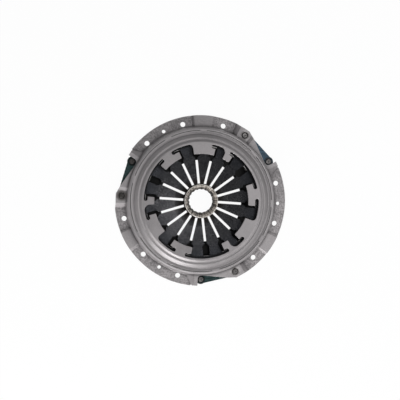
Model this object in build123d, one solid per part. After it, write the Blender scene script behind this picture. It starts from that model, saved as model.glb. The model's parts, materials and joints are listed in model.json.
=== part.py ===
from build123d import *
from math import atan2, cos, degrees, hypot, radians, sin, tan
import os

# Pull-type diaphragm clutch cover assembly, unbolted and at rest.
# Millimetres. The axis is Z, the flange's mounting face is z = 0 and +Z points to the gearbox.
# The form repeats three times round the axis. Angles are in degrees from +X.

# ---- bolting flange ----
repeats = 3
sector_angle = 360 / repeats
sheet = 4.0                      # thickness of the pressed cover
bolt_circle_r = 130.0
flange_edge = 12.0               # bolt circle to the flange's edge
lip_edge = 10.0                  # bolt circle to the edge of the raised lip
boss_edge = 9.8                  # bolt circle to the edge of the strap boss
bolt_hole_r = 4.2
dowel_hole_r = 3.0
bolt_angles = (15.0, 75.0, 105.0)
dowel_angle = 0.0
dowel_seat_angles = (-4.9, 6.7)  # each step of the flange lies between two angles
first_seat_angles = (8.6, 20.4)
lip_angles = (27.0, 51.7)
boss_angles = (54.2, 63.4)
second_seat_angles = (66.8, 82.1)
stiffener_angles = (83.9, 96.3)
third_seat_angles = (98.2, 113.2)
lip_foot_lead = 5.0              # the ramp to the lip starts this much later at the flange's edge
dowel_rise = 0.4                 # height of the dowel seat over the bolt seats
stiffener_rise = 2.5
notch_r = 1.6                    # relief notch at the foot of the lip
notch_angle = 25.6

# ---- pressed drum: rings stepped inward from the flange ----
cover_height = 34.0
wall_gap = 5.8                   # bolt circle to the foot of the wall
wall_lean = 12.0                 # degrees from the axis
shoulder_step = 6.0              # wall foot to the shoulder
bead_step = 7.4                  # shoulder to the middle of the bead
crest_step = 7.2                 # bead to the inner crest
groove_step = 3.0                # inner crest to the groove
plateau_step = 4.2               # groove to the flat top
rim_width = 2.8                  # flat rim round the opening
groove_drop = 2.4                # each drop is measured from the flat top
crest_drop = 1.4
bead_drop = 6.8
shoulder_drop = 5.8
bead_flat = 2.0                  # width of the bead's floor
bead_rise = 2.4                  # floor to the slope that climbs to the shoulder
shoulder_turn = 3.4              # height of the slope from the shoulder to the wall
skirt = 3.5                      # flat of the flange that is turned with the drum
rim_turn = 1.4                   # the sheet's inner face turns this much farther out
groove_turn = 1.6
seat_turn = 3.6
inner_drop = 1.9                 # inner face, from under the flat top to under the groove
seat_pressing = 0.3              # the sheet is this much thinner under the bead
drum_bends = [2.0, 1.6, 2.0, 1.0, 0.8, 0.8, 1.6, 2.5, 2.0]   # radii, from the rim to the flange
score_inset = 3.0                # shoulder to the thin score line
score_width = 1.2
score_depth = 0.5
score_angles = ((2.8, 41.0), (47.0, 87.5), (92.8, 117.0))

# ---- tabs and relief hooks round the opening ----
tab_length = 17.0
hook_width = 6.2
narrow_tab_angles = (57.1, 65.7)
wide_tab_angles = (77.0, 101.0)
middle_tab_angles = (116.75, 140.8)
short_hook_angle = 4.5           # from the tab's edge to the tip of its relief hook
long_hook_angle = 7.5
back_hook_angle = 6.4
narrow_gap_rounding = 0.49       # corner radius as a share of the gap beside the tab
wide_gap_rounding = 0.23
tip_fillet = 1.2

# ---- drive straps ----
strap_plate_angle = 32.0
strap_cover_angle = 58.0
strap_width = 14.7
leaf_thickness = 0.9
leaves = 3
strap_drop = 1.5                 # plate end lies this much lower than the cover end
strap_seat = 12.0                # underside of the boss that the strap is riveted to
strap_flat = 12.0                # flat length at each end, measured from the rivet
strap_clearance = 1.8            # height of the raised lip over the strap
pocket_depth = 7.0               # bolt circle to the inner edge of the open pocket
pocket_start_angle = 29.6
pocket_turn_angle = 34.0
pocket_corner_angle = 50.6
pocket_corner_step = 3.8         # bolt circle out to the pocket's far corner
boss_corner_angle = 55.6
boss_corner_step = 8.4           # bolt circle out to the boss's rounded corner
pocket_exit_angle = 61.0
pocket_fillets = (6.0, 7.0, 9.0, 9.0)
gate_depth = 20.0                # bolt circle to the inside of the gap under the raised flange
gate_margin_angle = 0.2          # the gap reaches this much past the lip and the boss

# ---- rivets ----
rivet_r = 3.5
rivet_clearance = 0.05
rivet_head_r = 4.7
rivet_head_height = 1.8
rivet_chamfer = 1.0
rivet_foot_r = 5.2
rivet_foot_height = 2.0
foot_gap = 0.3                   # round the foot in the lug's recess
foot_sink = 0.4                  # the foot lies this much inside the recess
boss_recess_r = 5.8
boss_recess_depth = 1.4
washer_r = 6.4
washer_thickness = 1.5

# ---- pivot ring ----
pivot_inset = -0.3               # middle of the bead to the pivot ring, outward
pivot_wire_r = 1.75
wire_sides = 10                  # flats of the wire's section, one of them on the seat
seat_gap = 0.15                  # gap left where a curved face bears on another

# ---- diaphragm spring ----
fingers = 18
slot_angle = 18.0
spring_thickness = 2.6
spring_overhang = 2.5            # pivot ring to the spring's edge
spring_cone = 6.0                # slope of the fingers, degrees
tip_cone = 2.0                   # slope of the fingertips, degrees
finger_bend_r = 44.0
fingertip_r = 19.0
slot_width = 3.9
disc_width = 18.9                # pivot ring to the windows
window_length = 16.4
window_neck = 3.7                # window to the full width of the slot's end
window_width = 11.5
window_fillet = 2.4

# ---- pressure plate ----
friction_z = 1.0
lever = 16.5                     # pivot ring to the ridge that the spring bears on
friction_width = 46.0
plate_gap = 10.2                 # foot of the drum's wall to the plate
plate_web = 8.5
ridge_top_width = 3.0
ridge_base_width = 11.0
ridge_slope = 0.35               # fall of the ridge's crest toward the axis
ridge_gap_width = 9.0
ridge_gap_angles = (8.0, 68.0)
plate_chamfer = 1.5
lug_width = 17.0
lug_root_width = 34.0
lug_root = 6.0                   # overlap of the lug's arm with the ring
lug_taper = 9.0
lug_step = 0.8                   # the lug's underside stands back from the friction face

# ---- release ring on the fingertips ----
ring_wall = 6.8                  # bore to the outside
ring_tip_gap = 1.6               # fingertips to the bore
ring_mouth = 4.8                 # bore to the widest of the conical mouth
ring_height = 14.4
ring_bore_length = 6.0
ring_lip = 1.2
ring_lip_width = 0.3
ring_edge = 0.6                  # chamfer of the outer rim
ring_neck = 1.0                  # the foot is this much smaller in radius
ring_neck_height = 3.5
retainer_edge = 1.6              # release ring to the edge of the retainer
retainer_tip_gap = 0.6
retainer_thickness = 2.4
preload_height = 1.3
preload_thickness = 0.7
preload_inset = 0.4              # edge of the retainer to the edge of the spring
preload_gap = 0.6                # tongues to the spring's bore
tongue_inset = 5.3               # fingertips to the middle of a tongue
tongue_depth = 2.8
tongue_side_gap = 0.3
tongue_end_gap = 0.2
tongue_fit = 0.3                 # the pockets are this much longer than the tongues
tongue_root = 0.5
tongue_pocket = 3.0
tongue_every = 3

# ---- radii worked out from the sizes above ----
flange_r = bolt_circle_r + flange_edge
lip_r = bolt_circle_r + lip_edge
boss_r = bolt_circle_r + boss_edge
wall_foot_r = bolt_circle_r - wall_gap
shoulder_r = wall_foot_r - shoulder_step
bead_r = shoulder_r - bead_step
crest_r = bead_r - crest_step
groove_r = crest_r - groove_step
plateau_r = groove_r - plateau_step
opening_r = plateau_r - rim_width
tab_tip_r = opening_r - tab_length
score_r = shoulder_r - score_inset
pivot_r = bead_r + pivot_inset
spring_outer_r = pivot_r + spring_overhang
friction_r_out = wall_foot_r - plate_gap
friction_r_in = friction_r_out - friction_width
window_r_out = pivot_r - disc_width
window_r_in = window_r_out - window_length
slot_end_r = window_r_in - window_neck
ridge_r = pivot_r - lever
ring_bore_r = fingertip_r + ring_tip_gap
ring_r = ring_bore_r + ring_wall
ring_mouth_r = ring_bore_r + ring_mouth
retainer_r = ring_r + retainer_edge
retainer_bore_r = fingertip_r + retainer_tip_gap
tongue_r = fingertip_r + tongue_inset

# ---- heights worked out from the sizes above ----
strap_pack = leaves * leaf_thickness
lug_top = strap_seat - strap_pack - strap_drop
lip_level = strap_seat + strap_clearance
bead_z = cover_height - bead_drop
seat_z = bead_z - sheet + seat_pressing
pivot_z = seat_z - pivot_wire_r
spring_top_z = pivot_z - (pivot_wire_r + seat_gap) / cos(radians(spring_cone))
past = 1.0                       # cutting tools reach this much past the face they open


def polar(radius, angle):
    """Point in the plane at a radius and an angle in degrees."""
    return (radius * cos(radians(angle)), radius * sin(radians(angle)))


def around(solid, count=repeats, step=sector_angle):
    """Copies of a solid, turned about the axis."""
    return [Rot(0, 0, step * k) * solid for k in range(count)]


def write(solid, name):
    """Write one node's STEP file."""
    export_step(solid, os.path.join("parts", name + ".step"))


def sector(r_in, r_out, start, end, lead=0.0):
    """Flat piece of a ring between two angles; a lead turns the end's outer corner onward."""
    inner = [polar(r_in, a) for a in (start, (start + end) / 2, end)]
    outer = [polar(r_out, a) for a in (start, (start + end) / 2, end + lead)]
    edges = [ThreePointArc(*outer), Line(outer[2], inner[2]), ThreePointArc(*inner), Line(inner[0], outer[0])]
    return make_face(edges)


def cylinder(radius, z_low, z_high, place=(0, 0)):
    """Upright cylinder between two heights."""
    return extrude(Pos(place[0], place[1], z_low) * Circle(radius), z_high - z_low)


def turned(points):
    """Solid of revolution of a closed (radius, height) outline."""
    outline = Polyline(*points, close=True)
    return revolve(Plane.XZ * make_face(outline), Axis.Z)


def wall_inside(z):
    """Inner radius of the drum wall at a height."""
    lean = tan(radians(wall_lean))
    return wall_foot_r - sheet / cos(radians(wall_lean)) - (z - sheet) * lean


# ---------------------------------------------------------------- cover

def drum_outside():
    """Outer line of the pressed drum, from the opening to the flange."""
    top = cover_height
    shoulder_z = top - shoulder_drop
    wall_top_z = shoulder_z - shoulder_turn
    wall_top_r = wall_foot_r - (wall_top_z - sheet) * tan(radians(wall_lean))
    points = [
        (tab_tip_r - past, top),
        (plateau_r, top),
        (groove_r, top - groove_drop),
        (crest_r, top - crest_drop),
        (bead_r - bead_flat / 2, bead_z),
        (bead_r + bead_flat / 2, bead_z),
        (bead_r + bead_flat / 2 + bead_rise, shoulder_z),
        (shoulder_r, shoulder_z),
        (wall_top_r, wall_top_z),
        (wall_foot_r, sheet),
        (wall_foot_r + skirt, sheet),
    ]
    return FilletPolyline(*points, radius=drum_bends)


def drum_inside():
    """Inner line of the pressed drum, with the flat seat of the pivot ring."""
    under = cover_height - sheet
    points = [
        (tab_tip_r - past, under),
        (plateau_r + rim_turn, under),
        (groove_r + groove_turn, under - inner_drop),
        (crest_r + seat_turn, seat_z),
        (wall_inside(seat_z), seat_z),
        (wall_inside(0), 0),
        (wall_foot_r + skirt, 0),
    ]
    return Polyline(*points)


def drum():
    """The drum, turned from its section."""
    outer = drum_outside()
    inner = drum_inside()
    ends = [Line(outer @ 0, inner @ 0), Line(outer @ 1, inner @ 1)]
    section = make_face(list(outer.edges()) + list(inner.edges()) + ends)
    return revolve(Plane.XZ * section, Axis.Z)


def flange_steps():
    """Angles, lead of the end's outer corner, underside height and outside radius of each step."""
    return [
        (*dowel_seat_angles, 0.0, dowel_rise, flange_r),
        (*first_seat_angles, lip_foot_lead, 0.0, flange_r),
        (*lip_angles, 0.0, lip_level, lip_r),
        (*boss_angles, 0.0, strap_seat, boss_r),
        (*second_seat_angles, 0.0, 0.0, flange_r),
        (*stiffener_angles, 0.0, stiffener_rise, flange_r),
        (*third_seat_angles, 0.0, 0.0, flange_r),
    ]


def root_radius(level):
    """Radius inside the drum wall where a step of the flange starts."""
    return wall_inside(level + sheet / 2) + sheet / 2


def end_section(angle, lead, level, r_out):
    """The sheet's upright section at one end of a step."""
    inner = polar(root_radius(level), angle)
    outer = polar(r_out, angle + lead)
    corners = [(*inner, level), (*outer, level), (*outer, level + sheet), (*inner, level + sheet)]
    return make_face(Polyline(*corners, close=True))


def flange_sector():
    """One third of the flange: level steps joined by ramps."""
    steps = flange_steps()
    pieces = []
    for k, (start, end, lead, level, r_out) in enumerate(steps):
        flat = sector(root_radius(level), r_out, start, end, lead)
        pieces.append(extrude(Pos(0, 0, level) * flat, sheet))
        next_start, _, _, next_level, next_r = steps[(k + 1) % len(steps)]
        if next_start < start:
            next_start += sector_angle
        foot = end_section(end, lead, level, r_out)
        top = end_section(next_start, 0.0, next_level, next_r)
        pieces.append(loft([foot, top], ruled=True))
    return pieces[0].fuse(*pieces[1:])


def strap_gate():
    """Space under the raised lip and boss that the strap and the plate's lug pass through."""
    r_in = bolt_circle_r - gate_depth
    r_out = wall_foot_r + skirt + past
    end = boss_angles[1] + gate_margin_angle
    gate = sector(r_in, r_out, lip_angles[0] - gate_margin_angle, end)
    under_boss = sector(r_in, r_out, lip_angles[1] + gate_margin_angle, end)
    space = extrude(Pos(0, 0, -past) * gate, lip_level + past)
    return space - extrude(Pos(0, 0, strap_seat) * under_boss, sheet)


def round_corner(outline, corner, radius):
    """Fillet the corner of an outline that lies nearest to a point."""
    nearest = outline.vertices().sort_by_distance((*corner, 0))[0]
    return fillet(nearest, radius)


def pocket():
    """Open pocket in the raised lip over the plate end of the strap, up to the boss's rounded corner."""
    beyond = flange_r + sheet
    inner_r = bolt_circle_r - pocket_depth
    corners = [
        polar(inner_r, pocket_start_angle),
        polar(inner_r, pocket_turn_angle),
        polar(bolt_circle_r + pocket_corner_step, pocket_corner_angle),
        polar(bolt_circle_r + boss_corner_step, boss_corner_angle),
        polar(beyond, pocket_exit_angle),
        polar(beyond, pocket_turn_angle),
        polar(beyond, pocket_start_angle),
    ]
    outline = make_face(Polyline(*corners, close=True))
    for corner, radius in zip(corners, pocket_fillets):
        outline = round_corner(outline, corner, radius)
    return extrude(Pos(0, 0, strap_seat - past) * outline, 2 * sheet)


def hook(edge, reach):
    """Relief notch that undercuts the foot of a tab, from the tab's edge by an angle."""
    end_r = hook_width / 2
    middle_r = opening_r - end_r
    toward = 1 if reach > 0 else -1
    centre = edge + reach - toward * degrees(end_r / middle_r)
    low, high = sorted((edge - toward, centre))
    strip = sector(opening_r - hook_width, opening_r, low, high)
    return [strip, Pos(*polar(middle_r, centre)) * Circle(end_r)]


def hooks():
    """Edge angle and reach of each relief hook of one third."""
    return [
        (narrow_tab_angles[0], short_hook_angle),
        (wide_tab_angles[0], short_hook_angle),
        (middle_tab_angles[0], long_hook_angle),
        (middle_tab_angles[1], -back_hook_angle),
    ]


def gap_rounding(share, tab, next_tab):
    """Corner radius at the foot of a tab, from the width of the gap to the next tab."""
    return share * opening_r * radians(next_tab[0] - tab[1])


def opening():
    """Outline of the drum's opening, with its nine tabs."""
    tabs = (narrow_tab_angles, wide_tab_angles, middle_tab_angles)
    narrow_fillet = gap_rounding(narrow_gap_rounding, narrow_tab_angles, wide_tab_angles)
    wide_fillet = gap_rounding(wide_gap_rounding, wide_tab_angles, middle_tab_angles)
    outline = Circle(opening_r)
    for turn in (sector_angle * k for k in range(repeats)):
        for start, end in tabs:
            outline -= sector(tab_tip_r, opening_r + past, start + turn, end + turn)
        for edge, reach in hooks():
            for piece in hook(edge + turn, reach):
                outline += piece
        outline = round_corner(outline, polar(opening_r, narrow_tab_angles[1] + turn), narrow_fillet)
        outline = round_corner(outline, polar(opening_r, wide_tab_angles[1] + turn), wide_fillet)
        for edge in (*narrow_tab_angles, *wide_tab_angles, *middle_tab_angles):
            outline = round_corner(outline, polar(tab_tip_r, edge + turn), tip_fillet)
    return outline


def score_lines():
    """Thin broken score line pressed into the shoulder, for one third of the drum."""
    r_in = score_r - score_width / 2
    bottom = cover_height - shoulder_drop - score_depth
    lines = []
    for start, end in score_angles:
        strip = sector(r_in, r_in + score_width, start, end)
        lines.append(extrude(Pos(0, 0, bottom) * strip, 2 * score_depth))
    return lines


def cover_holes():
    """Bolt, dowel and rivet holes and the lip's relief notch, for one third of the flange."""
    high = lip_level + sheet + past
    rivet_at = polar(bolt_circle_r, strap_cover_angle)
    recess_z = strap_seat + sheet - boss_recess_depth
    holes = [cylinder(bolt_hole_r, -past, high, polar(bolt_circle_r, a)) for a in bolt_angles]
    holes.append(cylinder(dowel_hole_r, -past, high, polar(bolt_circle_r, dowel_angle)))
    holes.append(cylinder(rivet_r + rivet_clearance, -past, high, rivet_at))
    holes.append(cylinder(boss_recess_r, recess_z, high, rivet_at))
    holes.append(cylinder(notch_r, -past, high, polar(flange_r, notch_angle)))
    return holes


def cover():
    """Pressed steel cover: drum, stepped flange, tabs, holes and rivet bosses."""
    body = drum()
    body -= around(strap_gate())
    body += around(flange_sector())
    body -= around(pocket())
    body -= extrude(Pos(0, 0, cover_height - 2 * sheet) * opening(), 3 * sheet)
    for cut in cover_holes() + score_lines():
        body -= around(cut)
    return body


# ---------------------------------------------------------------- drive straps

def strap_place():
    """Frame at the plate rivet with X along the strap, for the first strap."""
    start = polar(bolt_circle_r, strap_plate_angle)
    end = polar(bolt_circle_r, strap_cover_angle)
    heading = degrees(atan2(end[1] - start[1], end[0] - start[0]))
    return Pos(start[0], start[1], 0) * Rot(0, 0, heading)


def strap_span():
    """Distance between a strap's two rivets."""
    start = polar(bolt_circle_r, strap_plate_angle)
    end = polar(bolt_circle_r, strap_cover_angle)
    return hypot(end[0] - start[0], end[1] - start[1])


def strap_leaf(index):
    """One spring leaf with a set in it, in the strap's own frame."""
    span = strap_span()
    reach = strap_width / 2
    low = lug_top + index * leaf_thickness
    high = low + strap_drop
    line = [(-reach, low), (strap_flat, low), (span - strap_flat, high), (span + reach, high)]
    back = [(x, z + leaf_thickness) for x, z in reversed(line)]
    side = Plane.XZ * make_face(Polyline(*line, *back, close=True))
    blank = extrude(side, reach, both=True)
    plan = Pos(span / 2, 0, 0) * SlotCenterToCenter(span, strap_width)
    leaf = blank & extrude(plan, lip_level)
    for x in (0, span):
        leaf -= cylinder(rivet_r + rivet_clearance, 0, lip_level, (x, 0))
    return leaf


# ---------------------------------------------------------------- rivets and washers

def rivet(foot_top, head_seat):
    """Rivet with a plain foot below, a shank, and a low formed head above."""
    top = head_seat + rivet_head_height
    points = [
        (0, foot_top - rivet_foot_height),
        (rivet_foot_r, foot_top - rivet_foot_height),
        (rivet_foot_r, foot_top),
        (rivet_r, foot_top),
        (rivet_r, head_seat),
        (rivet_head_r, head_seat),
        (rivet_head_r, top - rivet_chamfer),
        (rivet_head_r - rivet_chamfer, top),
        (0, top),
    ]
    return turned(points)


def washer_z():
    """Height of the underside of the washer between strap and rivet."""
    return strap_seat - strap_pack - washer_thickness


def cover_rivet():
    """Rivet through the boss, the strap and its washer."""
    return rivet(washer_z(), strap_seat + sheet - boss_recess_depth)


def plate_rivet():
    """Rivet through the strap and the plate's lug."""
    foot_top = friction_z + lug_step + foot_sink + rivet_foot_height
    return rivet(foot_top, lug_top + strap_pack)


def strap_washer():
    """Washer between the strap and the cover rivet's foot."""
    low = washer_z()
    high = low + washer_thickness
    return cylinder(washer_r, low, high) - cylinder(rivet_r + rivet_clearance, low - past, high + past)


# ---------------------------------------------------------------- diaphragm spring

def spring_top(radius):
    """Height of the spring's upper face at a radius."""
    bend_z = spring_top_z - (pivot_r - finger_bend_r) * tan(radians(spring_cone))
    if radius < finger_bend_r:
        return bend_z - (finger_bend_r - radius) * tan(radians(tip_cone))
    return spring_top_z - (pivot_r - radius) * tan(radians(spring_cone))


def slot():
    """Slot between two fingers, with its window at the outer end."""
    half = slot_width / 2
    wide = window_width / 2
    start = fingertip_r / 2
    edge = [(start, half), (slot_end_r, half), (window_r_in, wide), (window_r_out, wide)]
    mirrored = [(x, -y) for x, y in reversed(edge)]
    outline = make_face(Polyline(*edge, *mirrored, close=True))
    for y in (wide, -wide):
        outline = round_corner(outline, (window_r_out, y), window_fillet)
    return outline


def diaphragm_spring():
    """Slotted disc spring with eighteen fingers."""
    radii = (spring_outer_r, finger_bend_r, fingertip_r)
    upper = [(r, spring_top(r)) for r in radii]
    lower = [(r, spring_top(r) - spring_thickness) for r in reversed(radii)]
    disc = turned(upper + lower)
    cutter = extrude(slot(), cover_height)
    step = 360 / fingers
    return disc - [Rot(0, 0, slot_angle + step * k) * cutter for k in range(fingers)]


def pivot_ring():
    """Wire ring that the spring's rim pivots on."""
    section = RegularPolygon(pivot_wire_r, wire_sides, major_radius=False)
    return revolve(Plane.XZ * Pos(pivot_r, pivot_z) * section, Axis.Z)


# ---------------------------------------------------------------- pressure plate

def plate_ring():
    """Turned ring of the plate, with the ridge that the spring bears on."""
    top = friction_z + plate_web
    crest = spring_top(ridge_r) - spring_thickness - seat_gap
    edge = plate_chamfer
    points = [
        (friction_r_in + edge, friction_z),
        (friction_r_out - edge, friction_z),
        (friction_r_out, friction_z + edge),
        (friction_r_out, top - 2 * edge),
        (friction_r_out - 2 * edge, top),
        (ridge_r + ridge_base_width / 2, top),
        (ridge_r + ridge_top_width / 2, crest),
        (ridge_r - ridge_top_width / 2, crest - ridge_slope),
        (ridge_r - ridge_base_width / 2, top),
        (friction_r_in + 2 * edge, top),
        (friction_r_in, top - edge),
        (friction_r_in, friction_z + edge),
    ]
    return turned(points)


def lug():
    """Lug that carries the strap, with the recess for the rivet's foot."""
    place = polar(bolt_circle_r, strap_plate_angle)
    low = friction_z + lug_step
    recess_top = low + foot_sink + rivet_foot_height
    root = friction_r_out - lug_root
    half = lug_width / 2
    wide = lug_root_width / 2
    edge = [(root, wide), (root + lug_taper, half), (bolt_circle_r, half)]
    mirrored = [(x, -y) for x, y in reversed(edge)]
    plan = Pos(bolt_circle_r, 0) * Circle(half) + make_face(Polyline(*edge, *mirrored, close=True))
    body = extrude(Pos(0, 0, low) * Rot(0, 0, strap_plate_angle) * plan, lug_top - low)
    body -= cylinder(rivet_r + rivet_clearance, low - past, lug_top + past, place)
    return body - cylinder(rivet_foot_r + foot_gap, low - past, recess_top, place)


def pressure_plate():
    """Cast pressure plate: friction ring, spring ridge and three lugs."""
    body = plate_ring()
    gap = Pos(ridge_r, 0, friction_z + plate_web) * Rectangle(2 * ridge_base_width, ridge_gap_width)
    for angle in ridge_gap_angles:
        body -= around(Rot(0, 0, angle) * extrude(gap, cover_height))
    return body + around(lug())


# ---------------------------------------------------------------- release ring

def slot_angles():
    """Angles of the slots that the retainer's tongues pass through."""
    step = 360 / fingers
    return [slot_angle + step * k for k in range(0, fingers, tongue_every)]


def tongue(z_low, z_high, side, depth):
    """Bar that stands in a slot near the fingertips, along +X."""
    width = slot_width - 2 * side
    centre = (z_low + z_high) / 2
    return Pos(tongue_r, 0, centre) * Box(depth, width, z_high - z_low)


def release_ring():
    """Thrust ring that seats on the fingertips and takes the release bearing."""
    low = spring_top(ring_r) + seat_gap
    top = low + ring_height
    points = [
        (ring_bore_r, low),
        (ring_r - ring_neck, low),
        (ring_r - ring_neck, low + ring_neck_height),
        (ring_r, low + ring_neck_height + ring_neck),
        (ring_r, top - ring_edge),
        (ring_r - ring_edge, top),
        (ring_mouth_r + ring_lip_width, top),
        (ring_mouth_r, top - ring_lip),
        (ring_bore_r, low + ring_bore_length),
    ]
    body = turned(points)
    side = tongue_side_gap - tongue_end_gap
    room = tongue(low - past, low + tongue_pocket, side, tongue_depth + tongue_fit)
    for angle in slot_angles():
        body -= Rot(0, 0, angle) * room
    return body


def retainer_top():
    """Height of the retainer's upper face."""
    return spring_top(retainer_r) - spring_thickness - preload_height - seat_gap


def retainer_ring():
    """Ring under the fingertips, whose tongues pass up through the slots."""
    top = retainer_top()
    low = top - retainer_thickness
    body = cylinder(retainer_r, low, top) - cylinder(retainer_bore_r, low - past, top + past)
    reach = spring_top(ring_r) + seat_gap + tongue_pocket - tongue_end_gap
    for angle in slot_angles():
        body += Rot(0, 0, angle) * tongue(top - tongue_root, reach, tongue_side_gap, tongue_depth)
    return body


def preload_spring():
    """Thin conical washer that holds the two rings against the fingertips."""
    low = retainer_top()
    r_in = tongue_r + tongue_depth / 2 + preload_gap
    r_out = retainer_r - preload_inset
    points = [
        (r_in, low + preload_height - preload_thickness),
        (r_in, low + preload_height),
        (r_out, low + preload_thickness),
        (r_out, low),
    ]
    return turned(points)


# ---------------------------------------------------------------- write the nodes

def write_straps():
    """The three strap packs with their rivets and washers."""
    place = strap_place()
    span = strap_span()
    stock = {f"leaf_{i + 1}": place * strap_leaf(i) for i in range(leaves)}
    fasteners = {
        "cover_rivet": place * Pos(span, 0, 0) * cover_rivet(),
        "strap_washer": place * Pos(span, 0, 0) * strap_washer(),
        "plate_rivet": place * plate_rivet(),
    }
    for k in range(repeats):
        turn = Rot(0, 0, sector_angle * k)
        for name, solid in stock.items():
            write(turn * solid, f"strap_{k + 1}_{name}")
        for name, solid in fasteners.items():
            write(turn * solid, f"{name}_{k + 1}")


def main():
    """Build and write every node."""
    os.makedirs("parts", exist_ok=True)
    write(cover(), "cover")
    write(pivot_ring(), "pivot_ring")
    write(diaphragm_spring(), "diaphragm_spring")
    write(pressure_plate(), "pressure_plate")
    write(release_ring(), "release_ring")
    write(retainer_ring(), "retainer_ring")
    write(preload_spring(), "preload_spring")
    write_straps()


main()
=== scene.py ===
import bmesh
import bpy
import json
from math import cos, radians, sin
from mathutils import Matrix, Vector


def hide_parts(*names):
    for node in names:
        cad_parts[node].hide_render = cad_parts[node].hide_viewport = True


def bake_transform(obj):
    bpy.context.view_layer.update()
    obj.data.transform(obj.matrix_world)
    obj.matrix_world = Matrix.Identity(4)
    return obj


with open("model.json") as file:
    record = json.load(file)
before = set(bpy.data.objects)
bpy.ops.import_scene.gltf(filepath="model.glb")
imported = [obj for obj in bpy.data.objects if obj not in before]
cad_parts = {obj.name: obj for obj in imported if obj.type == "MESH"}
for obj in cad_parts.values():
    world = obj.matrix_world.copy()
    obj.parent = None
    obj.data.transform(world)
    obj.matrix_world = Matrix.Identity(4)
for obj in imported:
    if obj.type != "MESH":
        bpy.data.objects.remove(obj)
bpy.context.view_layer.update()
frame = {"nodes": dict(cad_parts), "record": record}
nodes = frame["nodes"]

# ---------------------------------------------------------------- sizes, in metres and degrees
repeats = 3                      # the cover, its straps and its rivets repeat round the axis
sector_angle = 360 / repeats
bolt_circle_r = 0.130
plate_rivet_angle = 32.0
cover_rivet_angle = 58.0
fingers = 18
finger_angle = 360 / fingers
first_slot_angle = 18.0
spring_still_r = 0.116           # the spring doesn't move outside this radius
spring_free_r = 0.0274           # inside this radius it moves with the release ring
bend_step = 0.006                # spacing of the cuts that let a mesh bend
weld_gap = 1e-6                  # corners nearer than this are joined
cut_gap = 1e-7                   # a cut runs through corners nearer than this
sharp_edge = 25                  # steeper edges than this are shaded sharp

# ---------------------------------------------------------------- zones of the materials
# A pair holds the two ends of a soft change, from none of the zone to all of it.
flange_from_r = (0.1240, 0.1258)
seat_below_z = (0.0058, 0.0048)          # the flange's bolt seats
blasted_below_r = (0.090, 0.064)         # the spring's fingers
tip_shade_below_r = (0.042, 0.033)           # the fingertips, painted dark as shade near the release ring
shaded_from_r = (0.0891, 0.0926)         # the spring under the edge of the cover's opening
top_shade_from_z = (0.0075, 0.0085)          # the pressure plate's upper side, painted near-black as shade under the spring
top_shade_below_r = (0.1145, 0.1130)
ridge_from_z = (0.0125, 0.0135)          # the crest of the plate's ridge: machined metal, painted bright partly as a highlight
friction_below_z = (0.0025, 0.0017)      # the plate's turned face
bore_below_r = (0.0240, 0.0218)          # the release ring's mouth, dark with grease and painted shade
rim_highlight_from_r = (0.0262, 0.0268)            # the release ring's rim, painted bright as a highlight

# Narrow zones: from the first value to the second.
groove_shade_r = (0.1145, 0.1159)               # painted shade in the thin pressed groove on the drum's shoulder
groove_shade_z = (0.02685, 0.02805)
finger_bend_r = (0.0435, 0.0450)
ridge_r = (0.0885, 0.0995)
ring_groove_shade_r = (0.0253, 0.0259)

# Distances from a rivet's centre.
grime_and_shade_within = (0.0095, 0.0045)          # grime and painted shade on the cover's bosses
left_shade_within = (0.0110, 0.0060)
boss_highlight_between = (0.0052, 0.0090)
strap_dark_within = (0.0085, 0.0055)
head_rim_shade_from = (0.0034, 0.0042)
dimple_shade_within = (0.0013, 0.0008)
dimple_rises = (0.0004, 0.0013)
left_head_shade_within = (0.0070, 0.0050)

# Parts of a noise's range over which a surface changes: the narrower, the crisper.
soft = (0.30, 0.70)
plain = (0.35, 0.65)
crisp = (0.40, 0.60)

# ---------------------------------------------------------------- colours
white = (1, 1, 1, 1)
rivet_grime_and_shade = (0.062, 0.054, 0.048, 1)
left_rivet_shade = (0.045, 0.040, 0.037, 1)
rim_steel = ((0.044, 0.048, 0.056, 1), (0.066, 0.070, 0.081, 1))
blasted_steel = ((0.036, 0.036, 0.040, 1), (0.118, 0.117, 0.122, 1))
tip_shade = (0.022, 0.018, 0.015, 1)
bend_highlight_colour = (0.22, 0.21, 0.20, 1)
opening_shade = (0.010, 0.009, 0.009, 1)
green_strap = ((0.024, 0.042, 0.041, 1), (0.046, 0.084, 0.084, 1))
blue_strap = ((0.014, 0.026, 0.038, 1), (0.032, 0.056, 0.078, 1))
strap_shade = (0.008, 0.008, 0.008, 1)
ring_face = ((0.075, 0.062, 0.051, 1), (0.68, 0.62, 0.56, 1))
bore_grease_and_shade = ((0.014, 0.011, 0.009, 1), (0.26, 0.23, 0.20, 1))
ring_groove_shade = (0.045, 0.038, 0.032, 1)
rim_highlight_colour = (0.80, 0.76, 0.71, 1)

# ---------------------------------------------------------------- camera, lights and floor
picture_right = 2.0              # angle of the picture's right-hand side
lean_angle = 163.0               # the camera leans toward this angle
lean = 0.065                     # sideways part for each unit of height
view_distance = 1.160
view_width = 0.668               # width of the picture at the flange
view_depth = 20
sensor_width = 36.0              # millimetres
picture_size = 400               # pixels
shift_left = -0.3                # the object's place in the picture, pixels
shift_down = 0.7

lamp_target = (0, 0, 0.02)
# Each lamp: azimuth from the picture's right, elevation, distance, width and height, watts.
lamps = {
    "key": (247, 30, 1.2, (0.9, 0.45), 8.5),
    "low": (247, 11, 1.2, (0.5, 0.2), 6.0),
    "side": (325, 34, 1.2, (0.6, 0.4), 3.4),
    "fill": (130, 16, 1.2, (0.8, 0.25), 0.5),
    "overhead": (26, 63, 1.4, (0.5, 0.55), 5.6),
}
sky_colour = (0.96, 0.98, 1.0, 1)
sky_strength = 0.25
floor_half = 4.0
floor_colour = (0.8, 0.8, 0.8, 1)
floor_glow = 0.96                # share of plain white where the floor is seen

bevel_samples = 6
occlusion_samples = 8


def direction(angle):
    """Level unit vector at an angle in degrees."""
    return Vector((cos(radians(angle)), sin(radians(angle)), 0))


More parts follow.
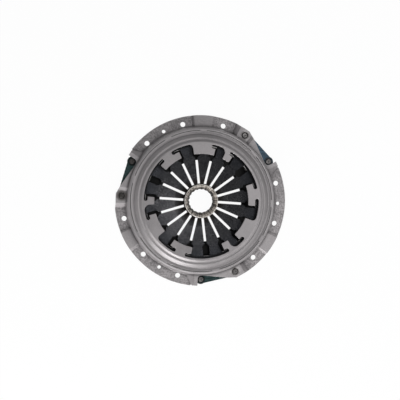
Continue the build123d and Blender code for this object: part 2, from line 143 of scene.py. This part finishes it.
def add_to_scene(name, data):
    """New object of some data, linked to the scene."""
    thing = bpy.data.objects.new(name, data)
    bpy.context.scene.collection.objects.link(thing)
    return thing


def place_facing(thing, place, target, up):
    """Put a camera or lamp at a place, facing a target, with its top toward up."""
    back = (Vector(place) - Vector(target)).normalized()
    side = Vector(up).cross(back).normalized()
    top = back.cross(side)
    turn = Matrix((side, top, back)).transposed()
    thing.matrix_world = Matrix.Translation(place) @ turn.to_4x4()


def make_camera():
    """Camera above the gearbox side, a little to the picture's left of the axis."""
    data = bpy.data.cameras.new("camera")
    data.sensor_width = sensor_width
    data.lens = sensor_width * view_distance / view_width
    data.clip_end = view_depth
    data.shift_x = shift_left / picture_size
    data.shift_y = shift_down / picture_size
    camera = add_to_scene("camera", data)
    toward = (direction(lean_angle) * lean + Vector((0, 0, 1))).normalized()
    place_facing(camera, toward * view_distance, (0, 0, 0), direction(picture_right + 90))
    bpy.context.scene.camera = camera


def make_lights():
    """Soft boxes round the object; the strongest stands low at the picture's foot."""
    for name, (azimuth, elevation, distance, size, power) in lamps.items():
        data = bpy.data.lights.new(name, "AREA")
        data.shape = "RECTANGLE"
        data.size, data.size_y = size
        data.energy = power
        level = direction(picture_right + azimuth) * cos(radians(elevation))
        place = (level + Vector((0, 0, sin(radians(elevation))))) * distance
        place_facing(add_to_scene(name, data), place, lamp_target, (0, 0, 1))


# ---------------------------------------------------------------- node trees

class Tree:
    """Short way to write a node tree."""

    def __init__(self, owner):
        owner.use_nodes = True
        self.tree = owner.node_tree

    def add(self, kind, **values):
        node = self.tree.nodes.new("ShaderNode" + kind)
        for key, value in values.items():
            setattr(node, key, value)
        return node

    def link(self, source, target):
        self.tree.links.new(source, target)

    def feed(self, socket, value):
        """Link a socket to a socket, or set it to a number or colour."""
        if isinstance(value, bpy.types.NodeSocket):
            self.link(value, socket)
        else:
            socket.default_value = value

    def made(self, kind, inputs, **values):
        """New node with its named inputs fed."""
        node = self.add(kind, **values)
        for name, value in inputs.items():
            self.feed(node.inputs[name], value)
        return node

    def math(self, operation, a, b=0.0):
        node = self.add("Math", operation=operation)
        self.feed(node.inputs[0], a)
        self.feed(node.inputs[1], b)
        return node.outputs[0]

    def times(self, a, b):
        return self.math("MULTIPLY", a, b)

    def plus(self, a, b):
        return self.math("ADD", a, b)

    def minus(self, a, b):
        return self.math("SUBTRACT", a, b)

    def larger(self, a, b):
        return self.math("MAXIMUM", a, b)

    def seen(self, kinds):
        """One for the rays of some kinds, such as Camera, and zero for the others."""
        path = self.add("LightPath")
        rays = [path.outputs[f"Is {kind} Ray"] for kind in kinds]
        found = rays[0]
        for ray in rays[1:]:
            found = self.larger(found, ray)
        return found

    def shader_mix(self, factor, a, b):
        node = self.add("MixShader")
        self.feed(node.inputs[0], factor)
        self.link(a, node.inputs[1])
        self.link(b, node.inputs[2])
        return node.outputs[0]


def make_world():
    """Even grey surroundings that show white to the camera."""
    world = bpy.data.worlds.new("studio")
    bpy.context.scene.world = world
    n = Tree(world)
    n.tree.nodes.clear()
    dim = n.made("Background", {"Color": sky_colour, "Strength": sky_strength})
    bright = n.made("Background", {"Color": white, "Strength": 1.0})
    shown = n.shader_mix(n.seen(["Camera"]), dim.outputs[0], bright.outputs[0])
    n.made("OutputWorld", {"Surface": shown})


def make_floor():
    """Pale floor that shows near white and keeps a soft shadow."""
    half = floor_half
    mesh = bpy.data.meshes.new("floor")
    corners = [(-half, -half, 0), (half, -half, 0), (half, half, 0), (-half, half, 0)]
    mesh.from_pydata(corners, [], [(0, 1, 2, 3)])
    material = bpy.data.materials.new("floor_white")
    n = Tree(material)
    n.tree.nodes.clear()
    lit = n.made("BsdfDiffuse", {"Color": floor_colour}).outputs[0]
    glow = n.made("Emission", {"Strength": 1.0}).outputs[0]
    pale = n.shader_mix(floor_glow, lit, glow)
    shown = n.shader_mix(n.seen(["Camera", "Glossy", "Transmission"]), lit, pale)
    n.made("OutputMaterial", {"Surface": shown})
    mesh.materials.append(material)
    add_to_scene("floor", mesh)


class Surface(Tree):
    """Short way to write the material of a surface."""

    def __init__(self, name):
        self.material = bpy.data.materials.new(name)
        super().__init__(self.material)
        self.shader = self.tree.nodes["Principled BSDF"]
        self.place = self.add("TexCoord").outputs["Object"]

    def noise(self, scale, detail, rough, place=None):
        """Noise value over the surface, or over other coordinates."""
        inputs = {"Scale": scale, "Detail": detail, "Roughness": rough,
                  "Vector": place or self.place}
        return self.made("TexNoise", inputs).outputs["Fac"]

    def ramp(self, value, between, to=(0.0, 1.0)):
        """Value mapped from one pair of numbers to another, smooth and clamped."""
        inputs = {"Value": value, "From Min": between[0], "From Max": between[1],
                  "To Min": to[0], "To Max": to[1]}
        return self.made("MapRange", inputs, interpolation_type="SMOOTHSTEP").outputs["Result"]

    def band(self, value, between, blur):
        """One between two numbers and zero outside them."""
        low, high = between
        rise = self.ramp(value, (low - blur, low + blur))
        return self.times(rise, self.ramp(value, (high + blur, high - blur)))

    def mix(self, factor, a, b):
        """Blend of two colours."""
        node = self.add("Mix", data_type="RGBA")
        self.feed(node.inputs["Factor"], factor)
        colours = [s for s in node.inputs if s.type == "RGBA"]
        self.feed(colours[0], a)
        self.feed(colours[1], b)
        return [s for s in node.outputs if s.type == "RGBA"][0]

    def paint(self, colour, over, mask, share=1.0):
        """Colour with a share of another over it, where the mask is one."""
        return self.mix(mask if share == 1.0 else self.times(mask, share), colour, over)

    def split(self):
        """X, Y and Z of the place, and the radius from the axis."""
        node = self.add("SeparateXYZ")
        self.link(self.place, node.inputs[0])
        x, y, z = node.outputs
        return x, y, z, self.math("SQRT", self.plus(self.times(x, x), self.times(y, y)))

    def level_place(self):
        """The place with its height left out."""
        level = self.add("VectorMath", operation="MULTIPLY")
        level.inputs[1].default_value = (1, 1, 0)
        self.link(self.place, level.inputs[0])
        return level.outputs[0]

    def near(self, places):
        """Distance to the nearest of some places in the plane."""
        level = self.level_place()
        nearest = None
        for place in places:
            node = self.add("VectorMath", operation="DISTANCE")
            node.inputs[1].default_value = place
            self.link(level, node.inputs[0])
            gap = node.outputs["Value"]
            nearest = self.math("MINIMUM", nearest, gap) if nearest else gap
        return nearest

    def stretched(self, factors):
        """The place scaled along each axis."""
        return self.made("Mapping", {"Vector": self.place, "Scale": factors}).outputs[0]

    def turned(self, radius):
        """Coordinates that only change with the radius, as a lathe's marks do."""
        return self.made("CombineXYZ", {"X": radius}).outputs[0]

    def round_axis(self):
        """Coordinates that only change round the axis, so streaks run down a steep face."""
        unit = self.add("VectorMath", operation="NORMALIZE")
        self.link(self.level_place(), unit.inputs[0])
        return unit.outputs[0]

    def rounded(self, radius):
        """Normal that rounds the sharp edges a little, and how far it turns near an edge."""
        bevel = self.made("Bevel", {"Radius": radius}, samples=bevel_samples).outputs[0]
        dot = self.add("VectorMath", operation="DOT_PRODUCT")
        self.link(bevel, dot.inputs[0])
        self.link(self.add("NewGeometry").outputs["Normal"], dot.inputs[1])
        turn = self.minus(1.0, dot.outputs["Value"])
        return bevel, self.ramp(turn, (0.02, 0.22))

    def hollow(self, distance, between):
        """One in the inner corners of the piece and zero on its open faces."""
        node = self.made("AmbientOcclusion", {"Distance": distance},
                         only_local=True, samples=occlusion_samples)
        return self.ramp(node.outputs["AO"], between)

    def bump(self, height, strength, distance, normal=None):
        node = self.made("Bump", {"Strength": strength, "Distance": distance, "Height": height})
        if normal:
            self.link(normal, node.inputs["Normal"])
        self.link(node.outputs[0], self.shader.inputs["Normal"])

    def finish(self, colour, roughness, metallic, specular=0.5):
        self.feed(self.shader.inputs["Base Color"], colour)
        self.feed(self.shader.inputs["Roughness"], roughness)
        self.shader.inputs["Metallic"].default_value = metallic
        self.shader.inputs["Specular IOR Level"].default_value = specular
        return self.material


# ---------------------------------------------------------------- materials

def grey(level, warm=0.0):
    """Grey of a level, a little warm or cold."""
    return (level * (1 + warm), level, level * (1 - warm / 3), 1)


def sheet(level):
    """Colour of the cover's steel at a level, a little toward violet."""
    return (level * 1.06, level, level * 1.012, 1)


def rivet_places(angle):
    """The three places of a rivet on the bolt circle."""
    return [direction(angle + sector_angle * k) * bolt_circle_r for k in range(repeats)]


cover_rivets = rivet_places(cover_rivet_angle)
plate_rivets = rivet_places(plate_rivet_angle)


def pressed_steel():
    """Blasted warm grey sheet: smooth drum, coarser and darker bolt seats on the flange."""
    n = Surface("pressed_steel")
    _, _, z, radius = n.split()
    flange = n.ramp(radius, flange_from_r)
    seat = n.times(flange, n.ramp(z, seat_below_z))
    raised = n.minus(flange, seat)
    grit = n.plus(seat, n.times(raised, 0.35))
    cloud = n.noise(scale=22, detail=4, rough=0.6)
    grain = n.noise(scale=900, detail=2, rough=0.6)
    speck = n.noise(scale=430, detail=3, rough=0.75)
    blot = n.noise(scale=150, detail=3, rough=0.7)
    patch = n.noise(scale=48, detail=2, rough=0.5)
    normal, edge = n.rounded(0.0006)
    # The sheet, its coarse seats and its smoother raised places.
    colour = n.mix(n.ramp(cloud, plain), sheet(0.235), sheet(0.285))
    colour = n.paint(colour, sheet(0.36), n.ramp(grain, soft), 0.45)
    gritty = n.mix(n.ramp(speck, crisp), sheet(0.11), sheet(0.46))
    colour = n.paint(colour, gritty, grit, 0.55)
    colour = n.paint(colour, sheet(0.15), n.times(n.ramp(patch, (0.50, 0.66)), seat), 0.4)
    colour = n.paint(colour, sheet(0.40), raised, 0.3)
    # Painted highlight on the edges, painted shade in the inner corners and in the pressed groove
    # on the drum's shoulder.
    # painted highlight on the rounded edges
    colour = n.paint(colour, grey(0.55, 0.04), edge, 0.6)
    # painted shade in the inner corners, from the piece's own occlusion
    colour = n.paint(colour, sheet(0.07), n.hollow(0.006, (0.97, 0.66)), 0.75)
    # painted shade in the pressed groove on the shoulder
    groove_shade = n.times(n.band(radius, groove_shade_r, blur=0.0003), n.band(z, groove_shade_z, blur=0.0001))
    colour = n.paint(colour, grey(0.05, 0.03), groove_shade, 0.75)
    # Grime and painted shade round the rivets in their recesses, painted shade on the boss at the
    # left, and a painted highlight round the other two.
    # grime with painted shade in the recess round each head
    grime_and_shade = n.ramp(n.near(cover_rivets), grime_and_shade_within)
    grime_and_shade = n.times(grime_and_shade, n.ramp(speck, (0.35, 0.60), to=(0.35, 0.9)))
    # painted shade on the boss at the left
    left_shade = n.ramp(n.near([cover_rivets[1]]), left_shade_within, to=(0.0, 0.85))
    dirt_and_shade = n.times(n.larger(grime_and_shade, left_shade), n.ramp(edge, (0.9, 0.1)))
    colour = n.paint(colour, rivet_grime_and_shade, dirt_and_shade)
    # painted highlight round the other two rivets
    boss_highlight = n.band(n.near([cover_rivets[0], cover_rivets[2]]), boss_highlight_between, blur=0.0008)
    boss_highlight = n.times(boss_highlight, n.ramp(blot, (0.42, 0.60)))
    colour = n.paint(colour, grey(0.60, 0.03), n.times(boss_highlight, n.ramp(flange, (0, 1))), 0.4)
    height = n.plus(n.times(grain, 0.35), n.times(n.times(speck, grit), 1.4))
    n.bump(height, strength=0.4, distance=0.0004, normal=normal)
    rough = n.plus(n.ramp(cloud, soft, to=(0.42, 0.52)), n.times(flange, 0.1))
    return n.finish(colour, rough, metallic=0.5)


def spring_steel():
    """Near-black hardened spring steel: smooth outer rim, blasted fingers, tips painted dark as
    shade near the release ring, a painted highlight along the bend.
    """
    n = Surface("spring_steel")
    radius = n.split()[3]
    cloud = n.noise(scale=35, detail=4, rough=0.6)
    grain = n.noise(scale=650, detail=3, rough=0.75)
    highlight_breakup = n.noise(scale=60, detail=2, rough=0.5)
    blasted = n.ramp(radius, blasted_below_r, to=(0.45, 1.0))
    speckled = n.mix(n.ramp(grain, (0.42, 0.62)), *blasted_steel)
    colour = n.paint(n.mix(n.ramp(cloud, soft), *rim_steel), speckled, blasted)
    # painted shade on the fingertips near the release ring
    colour = n.paint(colour, tip_shade, n.ramp(radius, tip_shade_below_r), 0.8)
    # painted highlight along the fingers' bend, broken up by noise
    bend_highlight = n.times(n.band(radius, finger_bend_r, blur=0.0006), n.ramp(highlight_breakup, plain))
    colour = n.paint(colour, bend_highlight_colour, bend_highlight, 0.4)
    colour = n.paint(colour, opening_shade, n.ramp(radius, shaded_from_r), 0.7)
    height = n.times(grain, n.ramp(blasted, (0, 1), to=(0.25, 1.0)))
    n.bump(height, strength=0.3, distance=0.0003)
    return n.finish(colour, n.ramp(cloud, soft, to=(0.22, 0.28)), metallic=1.0)


def strap_steel():
    """Strip steel, black-green, and tempered blue on one side; dark around the plate's rivets."""
    n = Surface("strap_steel")
    x, y = n.split()[:2]
    lines = n.noise(scale=60, detail=3, rough=0.6, place=n.stretched((1, 9, 1)))
    streak = n.ramp(lines, plain)
    blue_side = n.ramp(n.plus(x, y), (0.05, 0.12))
    colour = n.mix(blue_side, n.mix(streak, *green_strap), n.mix(streak, *blue_strap))
    rivet_shade = n.ramp(n.near(plate_rivets), strap_dark_within)
    colour = n.paint(colour, strap_shade, rivet_shade, 0.8)
    n.bump(lines, strength=0.1, distance=0.0002)
    return n.finish(colour, roughness=0.36, metallic=0.8)


def cast_iron():
    """Dark cast iron: a machined ridge painted bright, partly as a highlight, a turned friction
    face, and an upper side painted near-black as shade.
    """
    n = Surface("cast_iron")
    _, _, z, radius = n.split()
    cloud = n.noise(scale=60, detail=4, rough=0.6)
    grain = n.noise(scale=500, detail=3, rough=0.7)
    marks = n.noise(scale=900, detail=2, rough=0.5, place=n.turned(radius))
    colour = n.mix(n.ramp(cloud, soft), grey(0.035, 0.02), grey(0.065, 0.03))
    # painted shade on the plate's upper side
    top_shade = n.times(n.ramp(z, top_shade_from_z), n.ramp(radius, top_shade_below_r))
    colour = n.paint(colour, grey(0.004), top_shade, 0.9)
    # machined crest, painted bright partly as a highlight
    ridge = n.times(n.band(radius, ridge_r, blur=0.0003), n.ramp(z, ridge_from_z))
    ridge = n.times(ridge, n.ramp(cloud, (0.2, 0.5), to=(0.6, 1.0)))
    colour = n.paint(colour, grey(0.50, 0.03), ridge)
    face = n.ramp(z, friction_below_z)
    machined = n.mix(n.ramp(marks, plain), grey(0.26, 0.02), grey(0.38, 0.02))
    colour = n.paint(colour, machined, face)
    height = n.plus(n.times(grain, n.ramp(face, (1, 0))), n.times(marks, face))
    n.bump(height, strength=0.4, distance=0.0004)
    rough = n.ramp(face, (0, 1), to=(0.55, 0.36))
    return n.finish(colour, rough, metallic=0.6, specular=0.3)


def rivet_steel():
    """Plain steel rivets with painted shade round the rim and in the dimple, a painted highlight
    on the edge, handling marks, and painted shade on the two heads at the left.
    """
    n = Surface("rivet_steel")
    cloud = n.noise(scale=300, detail=3, rough=0.6)
    normal, edge = n.rounded(0.0005)
    centre = n.near(cover_rivets + plate_rivets)
    colour = n.mix(n.ramp(cloud, plain), grey(0.09, 0.06), grey(0.19, 0.05))
    # painted shade round the head's rim
    colour = n.paint(colour, grey(0.03, 0.05), n.ramp(centre, head_rim_shade_from), 0.75)
    # painted shade in the dimple
    colour = n.paint(colour, grey(0.03, 0.05), n.ramp(centre, dimple_shade_within), 0.6)
    # painted shade on the two heads at the left
    left_shade = n.ramp(n.near([cover_rivets[1], plate_rivets[1]]), left_head_shade_within)
    colour = n.paint(colour, left_rivet_shade, left_shade, 0.8)
    # painted highlight on the rounded edge
    colour = n.paint(colour, grey(0.45, 0.05), edge, 0.3)
    height = n.plus(cloud, n.ramp(centre, dimple_rises))
    n.bump(height, strength=0.35, distance=0.0004, normal=normal)
    return n.finish(colour, roughness=0.42, metallic=0.7)


def ring_steel():
    """Brownish grey, pitted ring: outer rim and edges painted bright as a highlight, a painted
    shade line in a groove, a dark bore of grease and painted shade.
    """
    n = Surface("ring_steel")
    radius = n.split()[3]
    speck = n.noise(scale=330, detail=3, rough=0.75)
    fine = n.noise(scale=1100, detail=2, rough=0.6)
    streaks = n.noise(scale=9, detail=2, rough=0.7, place=n.round_axis())
    normal, edge = n.rounded(0.0005)
    pits = n.plus(n.times(speck, 0.5), n.times(streaks, 0.5))
    colour = n.mix(n.ramp(pits, (0.43, 0.55)), *ring_face)
    # grease and painted shade in the bore
    greasy_and_shaded = n.mix(n.ramp(pits, (0.47, 0.57)), *bore_grease_and_shade)
    colour = n.paint(colour, greasy_and_shaded, n.ramp(radius, bore_below_r))
    # painted shade in a thin groove on the ring's face
    colour = n.paint(colour, ring_groove_shade, n.band(radius, ring_groove_shade_r, blur=0.0002), 0.7)
    # painted highlight on the outer rim and the edges
    rim_highlight = n.larger(n.ramp(radius, rim_highlight_from_r), n.times(edge, 0.7))
    colour = n.paint(colour, rim_highlight_colour, rim_highlight, 0.85)
    n.bump(n.plus(speck, fine), strength=0.45, distance=0.0004, normal=normal)
    return n.finish(colour, roughness=0.38, metallic=0.6)


makers = (pressed_steel, spring_steel, strap_steel, cast_iron, rivet_steel, ring_steel)
materials = {make.__name__: make() for make in makers}


def dress_nodes():
    """Give each CAD node the material of its slot."""
    for row in frame["record"]["subparts"]:
        mesh = nodes[row["node"]].data
        mesh.materials.clear()
        mesh.materials.append(materials[row["material_slot"]])


# ---------------------------------------------------------------- pieces cut into slices for bending

def cut(mesh, point, normal, drop=False):
    """Add edges where a plane crosses a mesh; drop takes away the side the normal points to."""
    everything = mesh.verts[:] + mesh.edges[:] + mesh.faces[:]
    bmesh.ops.bisect_plane(mesh, geom=everything, dist=cut_gap, plane_co=point, plane_no=normal,
                           clear_outer=drop)


def copy_of(node):
    """Editable copy of a CAD node's mesh, with its shared corners joined."""
    mesh = bmesh.new()
    mesh.from_mesh(nodes[node].data)
    bmesh.ops.remove_doubles(mesh, verts=mesh.verts, dist=weld_gap)
    return mesh


def show(mesh, name, slot):
    """Object of an edited mesh, with a slot's material and sharp edges kept."""
    data = bpy.data.meshes.new(name)
    mesh.to_mesh(data)
    mesh.free()
    data.materials.append(materials[slot])
    data.shade_smooth()
    data.set_sharp_from_angle(angle=radians(sharp_edge))
    shown = add_to_scene(name, data)
    return shown


def bend_straps():
    """Copies of the strap leaves, cut across at even steps from the cover's rivet to the plate's,
    shown in place of the CAD leaves.
    """
    for k, (start, end) in enumerate(zip(cover_rivets, plate_rivets), 1):
        along = end - start
        cuts = int(along.length / bend_step)
        for leaf in (1, 2, 3):
            node = f"strap_{k}_leaf_{leaf}"
            mesh = copy_of(node)
            for step in range(1, cuts):
                cut(mesh, start + along * step / cuts, along)
            shown = show(mesh, node + "_bent", "strap_steel")
            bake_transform(shown)
            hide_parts(node)


def bend_spring():
    """Spring in eighteen sectors, each cut across at even steps from the release ring out to the
    still outer part, shown in place of the CAD spring.
    """
    cuts = int((spring_still_r - spring_free_r) / bend_step)
    for k in range(fingers):
        middle = first_slot_angle + finger_angle * (k + 0.5)
        outward = direction(middle)
        mesh = copy_of("diaphragm_spring")
        cut(mesh, (0, 0, 0), direction(middle + finger_angle / 2 + 90), drop=True)
        cut(mesh, (0, 0, 0), direction(middle - finger_angle / 2 - 90), drop=True)
        for ring in range(cuts + 1):
            cut(mesh, outward * (spring_free_r + ring * bend_step), outward)
        shown = show(mesh, f"finger_{k + 1}", "spring_steel")
        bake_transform(shown)
        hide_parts("diaphragm_spring")


make_camera()
make_world()
make_lights()
make_floor()
dress_nodes()
bend_straps()
bend_spring()
bpy.context.scene.view_settings.view_transform = "Standard"
